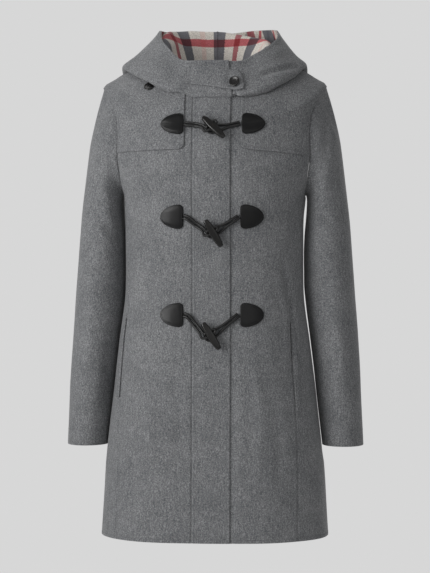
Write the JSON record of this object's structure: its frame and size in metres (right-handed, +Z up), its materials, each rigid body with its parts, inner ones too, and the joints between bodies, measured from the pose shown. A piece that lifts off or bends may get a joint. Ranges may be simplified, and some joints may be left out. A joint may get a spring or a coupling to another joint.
{
  "type": "duffle coat",
  "caption": "Hooded wool duffle coat with cord-and-toggle fastening, shoulder flaps, a throat tab and side pockets, hood worn down.",
  "frame": {"origin": "midpoint between the two side neck points, where the wearer's shoulders hold the coat up", "axes": "+Z up to the hood, -Y out of the front, +X to the wearer's left"},
  "size_m": [0.532, 0.3141, 0.9191],
  "materials": {
    "wool": "brushed wool, charcoal melange",
    "check_lining": "soft woven check",
    "patch_leather": "smooth semi-gloss",
    "cord": "plaited, matte",
    "horn": "polished, dark"
  },
  "bodies": {
    "root": {"front_right": "wool", "front_left": "wool", "side_right": "wool", "side_left": "wool", "back": "wool", "placket": "wool", "yoke_right": "wool", "yoke_left": "wool", "sleeve_right": "wool", "sleeve_left": "wool", "hood_right": "wool", "hood_left": "wool", "throat_tab": "wool", "pocket_welt_right": "wool", "pocket_welt_left": "wool", "hood_lining_right": "check_lining", "hood_lining_left": "check_lining", "throat_button": "horn", "neck_button": "horn", "patch_top_right": "patch_leather", "patch_top_left": "patch_leather", "toggle_cord_top": "cord", "loop_cord_top": "cord", "toggle_top": "horn", "patch_middle_right": "patch_leather", "patch_middle_left": "patch_leather", "toggle_cord_middle": "cord", "loop_cord_middle": "cord", "toggle_middle": "horn", "patch_bottom_right": "patch_leather", "patch_bottom_left": "patch_leather", "toggle_cord_bottom": "cord", "loop_cord_bottom": "cord", "toggle_bottom": "horn"}
  },
  "joints": []
}
